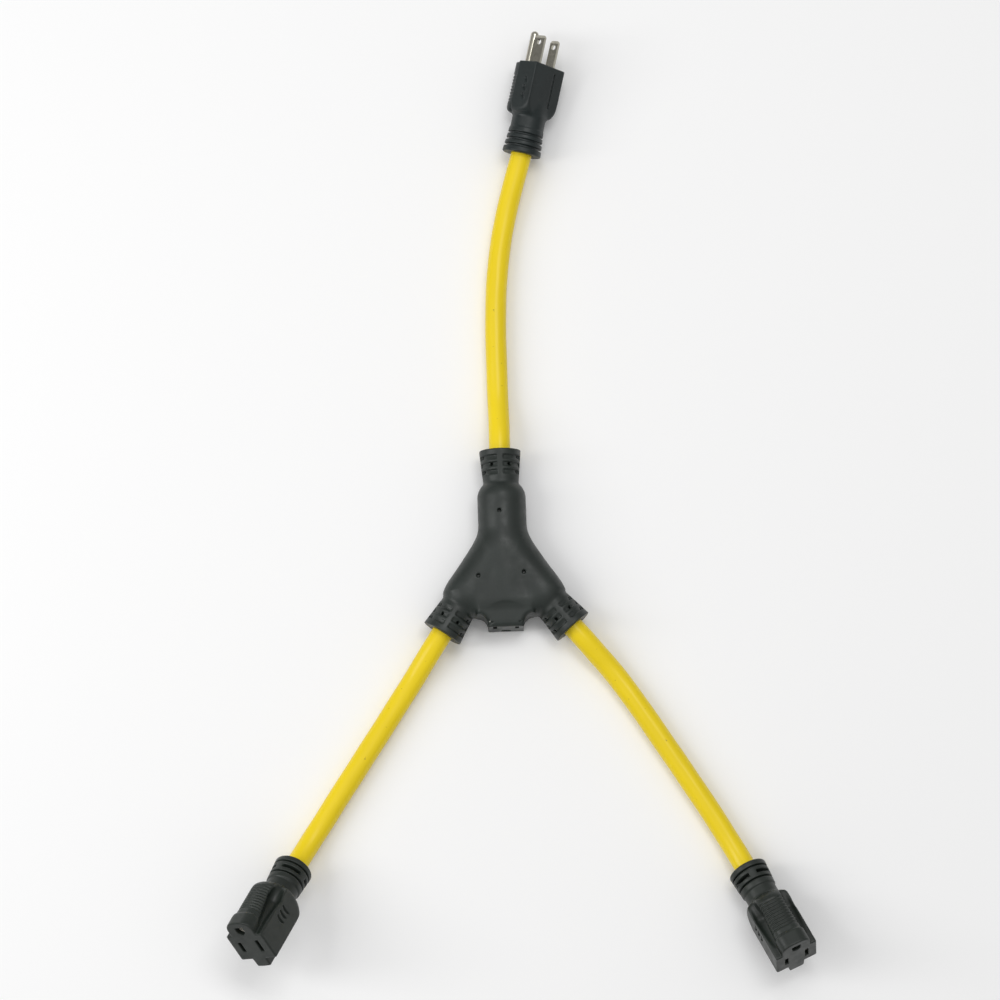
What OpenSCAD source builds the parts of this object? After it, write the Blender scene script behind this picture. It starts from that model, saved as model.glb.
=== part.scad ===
// Three-way generator adapter cord: one grounded plug, a moulded Y hub with an
// outlet of its own, and two legs that each end in a grounded connector.
// Frame: the hub lies flat with its back on z = 0, the plug is towards +Y, and
// the origin is under the middle of the hub. All sizes are in millimetres.

/* [Cord] */
// Outside diameter of the yellow cord jacket
jacket_d = 12.4; // [11.5:0.1:12.4]
// Bore of the jacket, which holds the three conductors
jacket_bore_d = 9.2; // [9.1:0.1:9.6]
// Outside diameter of each insulated conductor
wire_d = 4; // [3.4:0.1:4]
// Diameter of the stranded copper inside each conductor
copper_d = 2.5; // [2:0.1:2.6]

/* [Hub] */
// Diameter of the hub's round neck
neck_d = 28; // [26:0.5:29]
// Height of the cords' axis above the hub's flat back
hub_axis_z = 13; // [12.5:0.1:13.5]
// Distance from the origin to the end of the supply strain relief
supply_relief_y = 56.5; // [55:0.5:58]
// Length of each of the hub's strain reliefs
hub_relief_l = 18.4; // [17:0.2:19]
// Diameter of a hub strain relief at the cord's end
hub_relief_end_d = 24.4; // [23:0.2:24.8]
// Diameter of a hub strain relief where it meets the body
hub_relief_base_d = 20.8; // [20:0.2:22]
// Sideways distance from the hub's axis to the root of each leg's relief
arm_root_x = 27; // [26:0.5:28]
// Distance of those roots from the origin, towards the legs
arm_root_y = -34.2; // [-36:0.2:-33]
// Angle of the left leg's relief from the hub's axis
left_arm_angle = 33.5; // [32:0.5:38]
// Angle of the right leg's relief from the hub's axis
right_arm_angle = 40; // [36:0.5:41]
// Width of the outlet stub between the legs
stub_w = 20.8; // [20:0.2:22]
// Distance from the origin to the outlet's face
stub_face_y = -48.2; // [-50:0.2:-46]

/* [Plug and connectors] */
// Length of the plug from its face to the end of its strain relief
plug_l = 54; // [52:0.5:56]
// Length of a connector from its face to the end of its strain relief
connector_l = 60; // [58:0.5:62]
// Width across the two flat wings of a plug or connector
wing_w = 25.4; // [24:0.2:27]
// Height of the wings
wing_h = 18.6; // [17:0.2:19]
// Width of the hump on the ground side
hump_w = 16; // [15:0.5:17]
// Diameter of the neck behind the body
head_neck_d = 19.3; // [18.5:0.1:20]
// Diameter of the strain relief's end ring
head_ring_d = 22.8; // [22:0.2:23.4]

/* [Contacts] */
// Distance between the line and neutral blades, centre to centre
blade_pitch = 12.7; // [12.6:0.05:12.8]
// Distance from the blades' line to the ground pin's centre
ground_offset = 11.9; // [11.8:0.05:12]
// Thickness of a plug blade
blade_t = 1.5; // [1.4:0.05:1.6]
// Width of the plug's line blade
line_blade_w = 6.35; // [6.2:0.05:6.4]
// Width of the plug's neutral blade
neutral_blade_w = 7.9; // [7.8:0.05:8]
// Length of a blade in front of the plug's face
blade_l = 17; // [15:0.1:18]
// Diameter of the ground pin
ground_pin_d = 4.76; // [4.7:0.02:4.82]
// Length of the ground pin in front of the plug's face
ground_pin_l = 20.8; // [18:0.1:21.5]
// Bore of the ground contact's barrel
ground_bore_d = 4.9; // [4.85:0.01:5]

/* [Hidden] */

YELLOW = [0.86, 0.76, 0.12];
CHARCOAL = [0.24, 0.26, 0.25];
PLUG_DARK = [0.18, 0.21, 0.21];
NICKEL = [0.60, 0.60, 0.54];
BRASS = [0.78, 0.63, 0.30];
COPPER = [0.80, 0.45, 0.28];
INNER_PLASTIC = [0.80, 0.80, 0.76];
LINE_BLACK = [0.08, 0.08, 0.08];
NEUTRAL_WHITE = [0.92, 0.92, 0.90];
GROUND_GREEN = [0.10, 0.50, 0.22];

$fn = 64;
eps = 0.01;

// ---- where each head is: tail centre, heading, pitch, roll, length ----
// Heading is clockwise from +Y seen from above, pitch is nose up, and roll is
// about the head's own axis. In its own frame a head faces +z, the blades are
// side by side along x, and the ground side is +y.
PLUG = [[19, 235.6, 11.9], 14.5, 8, 48, plug_l];
LEFT = [[-126.2, -182.6, 15.8], -151.5, 34, -135, connector_l];
RIGHT = [[133, -191.8, 10.9], 154.5, 21, 175, connector_l];
// The hub's outlet is a head whose face is the end of the stub.
outlet_axis_z = 15.6;
outlet_depth = 24;
OUTLET = [[0, stub_face_y + outlet_depth, outlet_axis_z], 180, 0, 0, outlet_depth];

// ---- sizes worked out from the ones above ----
jacket_r = jacket_d / 2;
cord_hole_r = jacket_r + 0.1;
wire_r = wire_d / 2;
copper_r = copper_d / 2;
// Three conductors lie in a triangle inside the jacket.
wire_circle_r = 2.4;
// The blades sit below the head's axis, which is at mid height of the body.
blade_y = -1.5;
blade_x = blade_pitch / 2;
ground_y = blade_y + ground_offset;

plug_body_l = 31;
connector_body_l = 38;
head_relief_l = 15;
shoulder_l = 14;
shoulder_r = 18.2;
hump_top = 16;
face_skin = 3;
carrier_l = 16;
// Width and top of the riser that holds the ground metal in each head.
carrier_riser = [10, 14.1];
bridge_riser = [10, 13.9];
carrier_back = face_skin + carrier_l;
crimp_l = 5;
crimp_back = carrier_back + crimp_l;
crimp_r = 2.1;
plug_bridge_back = 15;
plug_bridge_front = 3;
plug_crimp_back = plug_bridge_back + crimp_l;
// The pin's root, flush with the face, is a little thicker than the pin.
ground_root_r = ground_pin_d / 2 + 0.3;
plug_jacket_stop = 32;
connector_jacket_stop = 38;
wire_stop_gap = 0.5;
bare_run = 1.5;

groove_w = 2;
groove_depth = 2.4;

supply_neck_y = 35;
supply_jacket_stop_y = 30;
arm_jacket_stop = 7;
splice_back_y = 1;
splice_l = 9;
splice_w = 15;
splice_t = 4.4;
layer_step = 6.4;
// The buses lie in three layers: neutral on top, line in the middle, ground below.
LINE = 0;
NEUTRAL = 1;
GROUND = 2;
LAYER_Z = [hub_axis_z, hub_axis_z + layer_step, hub_axis_z - layer_step];

// ---- the cords' routes over the floor, from the hub outwards ----
SUPPLY_ROUTE = [
    [0, 56.5, 13], [0.1, 66.5, 12.2], [0.1, 76.5, 9.7], [0, 86.5, 7.2],
    [0, 97, 6.3], [0, 111, 6.2], [0.1, 126, 6.2], [0.5, 140, 6.2],
    [1.4, 155, 6.2], [3, 170, 6.2], [5.2, 184, 6.2], [7.4, 194.5, 6.6],
    [9.9, 205, 7.5], [12.9, 215.4, 8.9], [16, 225.5, 10.4],
];
LEFT_ROUTE = [
    [-37.2, -49.5, 13], [-42.8, -57.8, 12.2], [-48.4, -66.1, 9.7],
    [-54, -74.4, 7.2], [-60.7, -84.3, 6.3], [-68.5, -95.9, 6.2],
    [-77.5, -109.2, 6.2], [-86.5, -122.4, 6.2], [-95.5, -135.6, 6.2],
    [-103.4, -147.3, 6.2], [-109.2, -156, 6.2], [-114, -163.1, 6.9],
    [-118.3, -169.8, 8.7], [-122.3, -176.1, 11.5],
];
RIGHT_ROUTE = [
    [38.8, -48.3, 13], [45.4, -56, 12.2], [52, -63.7, 9.7],
    [58.5, -71.3, 7.2], [65.2, -80.2, 6.3], [72.6, -91, 6.2],
    [80.6, -103.4, 6.2], [88.5, -116, 6.2], [96.4, -128.6, 6.2],
    [104.2, -141.2, 6.2], [111.8, -153.6, 6.2], [118.2, -164.4, 6.2],
    [123.6, -174, 6.5], [128.5, -183, 8],
];

// ---- points and directions ----
function unit(v) = v / norm(v);
function turned_x(p, a) = [p[0], p[1] * cos(a) - p[2] * sin(a), p[1] * sin(a) + p[2] * cos(a)];
function turned_z(p, a) = [p[0] * cos(a) - p[1] * sin(a), p[0] * sin(a) + p[1] * cos(a), p[2]];
// A point given in a head's own frame, put where the head lies.
function on_head(head, p) =
    head[0] + turned_z(turned_x(turned_z(p + [0, 0, head[4]], head[3]), head[2] - 90), -head[1]);
function arm_dir(side, angle) = [side * sin(angle), -cos(angle), 0];
function arm_point(side, angle, out) =
    [side * arm_root_x, arm_root_y, hub_axis_z] + out * arm_dir(side, angle);

// ---- sweeping ----
function tangent(path, i) =
    unit(path[min(i + 1, len(path) - 1)] - path[max(i - 1, 0)]);
function side_of(t) = unit(cross(t, [0, 0, 1]));
function up_of(t) = cross(side_of(t), t);
function ring(path, i, r, sides) =
    let (t = tangent(path, i), s = side_of(t), u = up_of(t))
    [for (k = [0 : sides - 1])
        path[i] + r * (cos(360 * (k + 0.5) / sides) * s + sin(360 * (k + 0.5) / sides) * u)];
// The triangles between one ring and the next, facing out, or in for a bore.
function skin(rings, sides, from, inward) =
    [for (i = [0 : rings - 2]) for (k = [0 : sides - 1])
        let (a = from + i * sides + k, b = from + i * sides + (k + 1) % sides,
             c = b + sides, d = a + sides)
        each inward ? [[a, c, b], [a, d, c]] : [[a, b, c], [a, c, d]]];
// The flat ring that closes a tube's wall, at its first end or its last.
function end_ring(outer, inner, sides, last) =
    [for (k = [0 : sides - 1])
        let (n = (k + 1) % sides)
        each last ? [[outer + k, outer + n, inner + n], [outer + k, inner + n, inner + k]]
                  : [[outer + k, inner + n, outer + n], [outer + k, inner + k, inner + n]]];

// A round rod along a path.
module rod(path, r, sides) {
    rings = len(path);
    points = [for (i = [0 : rings - 1]) each ring(path, i, r, sides)];
    last = (rings - 1) * sides;
    faces = concat(
        skin(rings, sides, 0, false),
        [[for (k = [sides - 1 : -1 : 0]) k]],
        [[for (k = [0 : sides - 1]) last + k]]);
    polyhedron(points, faces, convexity = 6);
}

// A round tube along a path, open at both ends.
module tube(path, r, bore_r, sides) {
    rings = len(path);
    points = concat(
        [for (i = [0 : rings - 1]) each ring(path, i, r, sides)],
        [for (i = [0 : rings - 1]) each ring(path, i, bore_r, sides)]);
    inner = rings * sides;
    last = (rings - 1) * sides;
    faces = concat(
        skin(rings, sides, 0, false),
        skin(rings, sides, inner, true),
        end_ring(0, inner, sides, false),
        end_ring(last, inner + last, sides, true));
    polyhedron(points, faces, convexity = 6);
}

// ---- whole routes, from inside the hub to inside each head ----
straight_in = 11;
function into_head(head, stop) =
    [for (z = [-head[4], -head[4] + straight_in, -stop, -stop + bare_run])
        on_head(head, [0, 0, z])];
function out_of_arm(side, angle) =
    [for (out = [-arm_jacket_stop - bare_run, -arm_jacket_stop, 6]) arm_point(side, angle, out)];
supply_straight_y = 43;
supply_path = concat(
    [for (y = [supply_jacket_stop_y - bare_run, supply_jacket_stop_y, supply_straight_y])
        [0, y, hub_axis_z]],
    SUPPLY_ROUTE,
    into_head(PLUG, plug_jacket_stop));
left_path = concat(
    out_of_arm(-1, left_arm_angle), LEFT_ROUTE, into_head(LEFT, connector_jacket_stop));
right_path = concat(
    out_of_arm(1, right_arm_angle), RIGHT_ROUTE, into_head(RIGHT, connector_jacket_stop));

// Where each conductor lies round the cord's axis at the hub: line, neutral,
// ground. The legs run the other way, so line and ground change sides.
SUPPLY_CLOCK = [330, 90, 210];
LEG_CLOCK = [210, 90, 330];
// How far the three conductors turn round each other on the way to the head.
supply_twist = 12;
left_twist = 75;
right_twist = 125;

// The twist is spread over the free stretch; the stretches inside the hub and
// the head run straight.
function twist_share(i, count) = max(0, min(1, (i - 3) / (count - 7)));
function wire_on(path, clock, twist) =
    [for (i = [0 : len(path) - 1])
        let (t = tangent(path, i), a = clock + twist * twist_share(i, len(path)))
        path[i] + wire_circle_r * (cos(a) * side_of(t) + sin(a) * up_of(t))];

// Where a conductor leaves the bus in the hub, for the supply and each leg.
SUPPLY_LANE = [1.5, 0, -1.5];
LEFT_LANE = [-3.2, -4.5, -5.8];
RIGHT_LANE = [5.8, 4.5, 3.2];
function lane_in(c, back) =
    let (x = SUPPLY_LANE[c])
    [[x, splice_back_y + splice_l + back, LAYER_Z[c]], [x, 17, LAYER_Z[c]]];
function lane_out(x, c, back) =
    [[x, splice_back_y - back, LAYER_Z[c]], [x, -6, LAYER_Z[c]]];

// Where a conductor reaches its blade or contact, in the head's own frame.
function blade_spot(c, plug) =
    c == GROUND ? [0, ground_y] : [(c == LINE ? 1 : -1) * (plug ? 1 : -1) * blade_x, blade_y];
function to_contact(head, c, plug, stop) =
    let (p = blade_spot(c, plug), back = plug ? plug_crimp_back : crimp_back)
    [for (z = [-back - 2, stop]) on_head(head, [p[0], p[1], z])];

function conductor(cord, c, inset, stop_plug, stop_contact) =
    cord == "supply"
    ? concat(lane_in(c, inset), wire_on(supply_path, SUPPLY_CLOCK[c], supply_twist),
             to_contact(PLUG, c, true, stop_plug))
    : cord == "left"
    ? concat(lane_out(LEFT_LANE[c], c, inset), wire_on(left_path, LEG_CLOCK[c], left_twist),
             to_contact(LEFT, c, false, stop_contact))
    : concat(lane_out(RIGHT_LANE[c], c, inset), wire_on(right_path, LEG_CLOCK[c], right_twist),
             to_contact(RIGHT, c, false, stop_contact));

module insulation(cord, c) {
    color([LINE_BLACK, NEUTRAL_WHITE, GROUND_GREEN][c])
    tube(conductor(cord, c, 2, -plug_crimp_back - wire_stop_gap, -crimp_back - wire_stop_gap),
         wire_r, copper_r + 0.1, 8);
}

module copper(cord, c) {
    color(COPPER)
    rod(conductor(cord, c, 0, -plug_crimp_back + 3, -crimp_back + 3), copper_r, 8);
}

// ---- shapes shared by the plug, the connectors and the outlet ----
// Put a head's own frame where the head lies.
module at_head(head) {
    translate(head[0])
    rotate([0, 0, -head[1]])
    rotate([head[2] - 90, 0, 0])
    rotate([0, 0, head[3]])
    translate([0, 0, head[4]])
    children();
}

module rounded_rect(w, h, r) {
    square([w - 2 * r, h], center = true);
    square([w, h - 2 * r], center = true);
    for (sx = [-1, 1], sy = [-1, 1])
        translate([sx * (w / 2 - r), sy * (h / 2 - r)]) circle(r);
}

// Two flat wings, a hump over the ground contact and a keel under the blades.
module connector_outline() {
    wing_mid = -1.85;
    keel_top = -9;
    keel_bottom = -17.2;
    keel_top_w = 10;
    keel_bottom_w = 8.8;
    translate([0, wing_mid]) rounded_rect(wing_w, wing_h, 1.5);
    translate([0, hump_top / 2]) rounded_rect(hump_w, hump_top, 5);
    polygon([[-keel_top_w / 2, keel_top], [keel_top_w / 2, keel_top],
             [keel_bottom_w / 2, keel_bottom], [-keel_bottom_w / 2, keel_bottom]]);
}

// The plug has a round hump and no keel, so it is flat under the blades.
module plug_outline() {
    wing_mid = -1.5;
    plug_wing_h = 14.4;
    plug_hump_r = 8.7;
    plug_hump_mid = 8.2;
    translate([0, wing_mid]) rounded_rect(wing_w, plug_wing_h, 1.3);
    translate([0, plug_hump_mid]) circle(plug_hump_r);
}

// A body's outline cut to a rounded shoulder that runs into the neck.
module head_body(body_l) {
    neck_r = head_neck_d / 2;
    steps = 8;
    curve = [for (i = [0 : steps])
        let (a = 90 * i / steps)
        [neck_r + (shoulder_r - neck_r) * sin(a), -body_l + shoulder_l * (1 - cos(a))]];
    intersection() {
        translate([0, 0, -body_l]) linear_extrude(body_l) children();
        rotate_extrude() polygon(concat([[0, -body_l]], curve, [[shoulder_r, 0], [0, 0]]));
    }
}

// A strain relief round the z axis, its cord end at z = 0 and its base at z = len:
// three grooves, and ribs that bridge the ones named.
module strain_relief(end_d, base_d, len, ribbed) {
    end_r = end_d / 2;
    base_r = base_d / 2;
    core_r = base_r - groove_depth;
    band = 3;
    pitch = (len - band) / 3.4;
    difference() {
        cylinder(len, end_r, base_r);
        for (i = [0 : 2])
            translate([0, 0, band + i * pitch])
            difference() {
                cylinder(groove_w, end_r + 1, end_r + 1);
                translate([0, 0, -1]) cylinder(groove_w + 2, core_r, core_r);
            }
    }
    for (i = ribbed, a = [0 : 90 : 270])
        rotate([0, 0, a])
        translate([core_r - 1, -2, band + i * pitch - eps])
        cube([base_r - core_r + 1 - 0.2, 4, groove_w + 2 * eps]);
}

module head_shell(body_l, head_l, ribbed) {
    head_body(body_l) children();
    translate([0, 0, -head_l + head_relief_l - eps])
    cylinder(head_l - head_relief_l - body_l + 1, head_neck_d / 2, head_neck_d / 2);
    translate([0, 0, -head_l])
    strain_relief(head_ring_d, head_neck_d, head_relief_l, ribbed);
}

// Room behind the contacts where the conductors spread out.
module fan_space(from, to) {
    wide_r = 14;
    flare = 9;
    bottom = -6.8;
    wide = [18.4, 11];
    riser = [10.2, 20];
    intersection() {
        union() {
            translate([0, 0, -from]) cylinder(flare, cord_hole_r, wide_r);
            translate([0, 0, -from + flare - eps])
            cylinder(from - to - flare + eps, wide_r, wide_r);
        }
        union() {
            for (size = [wide, riser])
                translate([-size[0] / 2, bottom, -from]) cube([size[0], size[1], from - to]);
        }
    }
}

module ground_mouth(len) {
    mouth_r = 2.7;
    cylinder(len, mouth_r, mouth_r);
    translate([-mouth_r, 0, 0]) cube([2 * mouth_r, mouth_r, len]);
}

// The three openings that a plug goes into, from the face inwards.
module outlet_mouths(len) {
    line_mouth = [2.2, 7.2];
    neutral_mouth = [2.2, 8.6];
    translate([-blade_x - line_mouth[0] / 2, blade_y - line_mouth[1] / 2, -len])
    cube([line_mouth[0], line_mouth[1], len + 1]);
    translate([blade_x - neutral_mouth[0] / 2, blade_y - neutral_mouth[1] / 2, -len])
    cube([neutral_mouth[0], neutral_mouth[1], len + 1]);
    translate([0, ground_y, -len]) ground_mouth(len + 1);
}

contact_w = 4.6;
contact_h = 9.2;
ground_barrel_r = 3.3;
contact_front = face_skin + 1.5;

// An inner block that holds the line and neutral metal, and rises to hold the
// ground's: its wide part spans the blades, and the riser stands in the hump.
module inner_block(back, front, riser) {
    wide = [18.8, 11.6];
    wide_bottom = -7.2;
    translate([-wide[0] / 2, wide_bottom, -back]) cube([wide[0], wide[1], back - front]);
    translate([-riser[0] / 2, 0, -back]) cube([riser[0], riser[1], back - front]);
}

module carrier_block() inner_block(carrier_back, face_skin, carrier_riser);

module contact_carrier(head) {
    color(INNER_PLASTIC)
    at_head(head)
    difference() {
        carrier_block();
        for (sx = [-1, 1])
            translate([sx * blade_x - contact_w / 2, blade_y - contact_h / 2, -carrier_back - 1])
            cube([contact_w, contact_h, carrier_back - contact_front + 1]);
        translate([0, ground_y, -carrier_back - 1])
        cylinder(carrier_back - contact_front + 1, ground_barrel_r, ground_barrel_r);
        outlet_mouths(contact_front + 1);
    }
}

module crimp_barrel(back) {
    translate([0, 0, -back])
    difference() {
        cylinder(crimp_l, crimp_r, crimp_r);
        translate([0, 0, -1]) cylinder(crimp_l + 2, copper_r + 0.05, copper_r + 0.05);
    }
}

// A folded brass contact: two springy leaves on a back plate, with a crimp.
module blade_contact(head, side) {
    leaf_t = 0.9;
    gap = 1.3;
    plate_t = 1;
    wall = contact_w / 2;
    color(BRASS)
    at_head(head)
    translate([side * blade_x, blade_y, 0]) {
        difference() {
            translate([-wall + 0.1, -contact_h / 2 + 0.1, -carrier_back])
            cube([contact_w - 0.2, contact_h - 0.2, carrier_back - contact_front - 0.1]);
            for (sx = [-1, 1])
                translate([sx * (gap / 2 + leaf_t + 1) - 1, -contact_h, -carrier_back + plate_t])
                cube([2, 2 * contact_h, carrier_back]);
            translate([-gap / 2, -contact_h, -carrier_back + plate_t])
            cube([gap, 2 * contact_h, carrier_back]);
        }
        crimp_barrel(crimp_back);
    }
}

// A round brass sleeve that grips the ground pin, with a crimp.
module ground_contact(head) {
    color(BRASS)
    at_head(head)
    translate([0, ground_y, 0]) {
        translate([0, 0, -carrier_back])
        difference() {
            cylinder(carrier_back - contact_front - 0.1, ground_barrel_r - 0.1, ground_barrel_r - 0.1);
            translate([0, 0, 1]) cylinder(carrier_back, ground_bore_d / 2, ground_bore_d / 2);
        }
        crimp_barrel(crimp_back);
    }
}

module connector_overmould(head) {
    color(CHARCOAL)
    at_head(head)
    difference() {
        head_shell(connector_body_l, connector_l, [1]) connector_outline();
        translate([0, 0, -connector_l - 1])
        cylinder(connector_l - connector_jacket_stop + 1 + eps, cord_hole_r, cord_hole_r);
        fan_space(connector_jacket_stop, carrier_back - 0.5);
        carrier_block();
        outlet_mouths(face_skin + 1);
    }
}

// ---- plug ----
module plug_bridge_block() inner_block(plug_bridge_back, plug_bridge_front, bridge_riser);

module blade_slot(side, w, from, to) {
    translate([side * blade_x - blade_t / 2, blade_y - w / 2, -from])
    cube([blade_t, w, from - to]);
}

module plug_holes(from, to) {
    blade_slot(1, line_blade_w, from, to);
    blade_slot(-1, neutral_blade_w, from, to);
    translate([0, ground_y, -from])
    cylinder(from - to, ground_root_r, ground_root_r);
}

module plug_overmould() {
    color(PLUG_DARK)
    at_head(PLUG)
    difference() {
        head_shell(plug_body_l, plug_l, []) plug_outline();
        translate([0, 0, -plug_l - 1])
        cylinder(plug_l - plug_jacket_stop + 1 + eps, cord_hole_r, cord_hole_r);
        fan_space(plug_jacket_stop, plug_bridge_back - 0.5);
        plug_bridge_block();
        plug_holes(plug_bridge_front + 1, -1);
    }
}

module plug_bridge() {
    color(INNER_PLASTIC)
    at_head(PLUG)
    difference() {
        plug_bridge_block();
        plug_holes(plug_bridge_back + 1, plug_bridge_front - 1);
    }
}

// A flat blade with a hole near its bevelled, rounded tip and a crimp at its back.
module plug_blade(side, w) {
    tip = 1.6;
    corner_r = 1.5;
    hole_r = 1.6;
    hole_from_tip = 4;
    half = blade_t / 2;
    color(NICKEL)
    at_head(PLUG)
    translate([side * blade_x, blade_y, 0]) {
        difference() {
            rotate([90, 0, 0])
            translate([0, 0, -w / 2])
            linear_extrude(w)
            polygon([[-half, -plug_bridge_back], [half, -plug_bridge_back],
                     [half, blade_l - tip], [half / 3, blade_l],
                     [-half / 3, blade_l], [-half, blade_l - tip]]);
            translate([-2, 0, blade_l - hole_from_tip])
            rotate([0, 90, 0]) cylinder(4, hole_r, hole_r);
            for (sy = [-1, 1])
                translate([-2, sy * (w / 2 - corner_r), blade_l - corner_r])
                rotate([0, 90, 0])
                linear_extrude(4)
                difference() {
                    translate([-corner_r - 1, sy > 0 ? 0 : -corner_r - 1]) square(corner_r + 1);
                    circle(corner_r);
                }
        }
        crimp_barrel(plug_crimp_back);
    }
}

module plug_ground_pin() {
    pin_r = ground_pin_d / 2;
    color(NICKEL)
    at_head(PLUG)
    translate([0, ground_y, 0]) {
        translate([0, 0, -plug_bridge_back])
        cylinder(plug_bridge_back, ground_root_r, ground_root_r);
        cylinder(ground_pin_l - pin_r, pin_r, pin_r);
        translate([0, 0, ground_pin_l - pin_r]) sphere(pin_r);
        crimp_barrel(plug_crimp_back);
    }
}

// ---- hub ----
// A round slice across the hub's axis, or across one arm.
module neck_slice(y, r) {
    translate([0, y, hub_axis_z]) rotate([90, 0, 0]) cylinder(1, r, r, center = true, $fn = 32);
}

module arm_slice(side, angle, out, r) {
    translate(arm_point(side, angle, out))
    rotate([90, 0, side * angle])
    cylinder(1, r, r, center = true, $fn = 32);
}

module hub_relief_at_arm(side, angle) {
    translate(arm_point(side, angle, hub_relief_l))
    rotate([90, 0, side * angle])
    mirror([0, 0, 1])
    strain_relief(hub_relief_end_d, hub_relief_base_d, hub_relief_l + 1, [0, 1, 2]);
}

module arm_bore(side, angle) {
    past_stop = 5;
    translate(arm_point(side, angle, hub_relief_l + 1))
    rotate([90, 0, side * angle])
    mirror([0, 0, 1])
    cylinder(hub_relief_l + 1 + arm_jacket_stop + past_stop, cord_hole_r, cord_hole_r);
}

// The Y-shaped body, from the round neck down to the two arms and the outlet.
module hub_body() {
    neck_r = neck_d / 2;
    arm_r = 12.8;
    arm_in = -7;
    belly = [40, 1, 20];
    belly_y = -40;
    stub_l = 24;
    stub_h = 25;
    stub_top = 24.6;
    translate([0, 3, hub_axis_z]) rotate([-90, 0, 0]) cylinder(supply_neck_y - 3, neck_r, neck_r);
    translate([0, supply_neck_y - eps, hub_axis_z])
    rotate([-90, 0, 0])
    cylinder(supply_relief_y - hub_relief_l - supply_neck_y, neck_r, hub_relief_base_d / 2);
    for (s = [[-1, left_arm_angle], [1, right_arm_angle]]) {
        hull() {
            neck_slice(6, neck_r - 0.3);
            arm_slice(s[0], s[1], arm_in, arm_r);
        }
        translate(arm_point(s[0], s[1], 0.5))
        rotate([90, 0, s[0] * s[1]])
        mirror([0, 0, 1])
        cylinder(8.5, hub_relief_base_d / 2 + 0.3, arm_r - 0.4);
    }
    hull() {
        arm_slice(-1, left_arm_angle, arm_in - 0.6, arm_r + 0.5);
        arm_slice(1, right_arm_angle, arm_in - 0.6, arm_r + 0.5);
        neck_slice(-8, neck_r - 0.7);
        translate([-belly[0] / 2, belly_y, hub_axis_z - belly[2] / 2]) cube(belly);
    }
    translate([0, stub_face_y, stub_top - stub_h / 2])
    rotate([-90, 0, 0])
    linear_extrude(stub_l)
    rounded_rect(stub_w, stub_h, 3);
}

// Room inside the hub for the buses and the spreading conductors.
module hub_space() {
    low = 2.9;
    high = 23;
    half = [[8, 12], [8, 4], [23.5, -16], [26.5, -25], [21, -29.5],
            [9, stub_face_y + carrier_back - 0.5]];
    intersection() {
        translate([0, -16, hub_axis_z]) rotate([-90, 0, 0])
        cylinder(supply_jacket_stop_y + 16, 11, 11);
        translate([-11, -16, low]) cube([22, 60, high - low]);
    }
    translate([0, 0, low])
    linear_extrude(high - low)
    polygon([for (p = half) p, for (i = [len(half) - 1 : -1 : 0]) [-half[i][0], half[i][1]]]);
}

// Three small round marks on the hub's front.
DIMPLES = [[-1.5, 19.5, 27], [-14.9, -18.2, 26], [11.4, -16.9, 26]];
module dimple(at) {
    dimple_r = 1.1;
    translate(at) sphere(dimple_r);
}

module hub_overmould() {
    // Everything under the flat back is cut away by a cube of this side.
    below = 150;
    color(CHARCOAL)
    difference() {
        union() {
            hub_body();
            translate([0, supply_relief_y, hub_axis_z])
            rotate([90, 0, 0])
            strain_relief(hub_relief_end_d, hub_relief_base_d, hub_relief_l + 1, [0, 1, 2]);
            hub_relief_at_arm(-1, left_arm_angle);
            hub_relief_at_arm(1, right_arm_angle);
        }
        translate([-below / 2, -below / 2, -below]) cube(below);
        translate([0, supply_relief_y + 1, hub_axis_z])
        rotate([90, 0, 0])
        cylinder(supply_relief_y - supply_jacket_stop_y + 1 + eps, cord_hole_r, cord_hole_r);
        arm_bore(-1, left_arm_angle);
        arm_bore(1, right_arm_angle);
        hub_space();
        at_head(OUTLET) {
            carrier_block();
            outlet_mouths(face_skin + 1);
        }
        for (at = DIMPLES) dimple(at);
    }
}

// A splice block on its layer, with a strap and a round tail to the contact.
module hub_bus(c, x, z) {
    strap_w = 2.4;
    strap_t = 1.6;
    turn_y = -19;
    tail_r = copper_r;
    tail_in = 3.5;
    contact_back_y = stub_face_y + crimp_back;
    color(BRASS) {
        translate([-splice_w / 2, splice_back_y, LAYER_Z[c] - splice_t / 2])
        cube([splice_w, splice_l, splice_t]);
        translate([-strap_w / 2, turn_y, LAYER_Z[c] - strap_t / 2])
        cube([strap_w, splice_back_y - turn_y + eps, strap_t]);
        translate([min(x, 0) - strap_w / 2, turn_y, LAYER_Z[c] - strap_t / 2])
        cube([abs(x) + strap_w, strap_t, strap_t]);
        translate([x - strap_w / 2, turn_y, min(z, LAYER_Z[c]) - strap_t / 2])
        cube([strap_w, strap_t, abs(z - LAYER_Z[c]) + strap_t]);
        translate([x, turn_y + strap_t / 2, z])
        rotate([90, 0, 0])
        cylinder(turn_y - contact_back_y + tail_in, tail_r, tail_r);
    }
}

module hub_line_bus() hub_bus(LINE, blade_x, outlet_axis_z - blade_y);
module hub_neutral_bus() hub_bus(NEUTRAL, -blade_x, outlet_axis_z - blade_y);
module hub_ground_bus() hub_bus(GROUND, 0, outlet_axis_z - ground_y);

// The conductors run on straight a little way past both ends of the jacket.
module jacket(path) {
    color(YELLOW)
    tube([for (i = [1 : len(path) - 2]) path[i]], jacket_r, jacket_bore_d / 2, 12);
}

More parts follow.
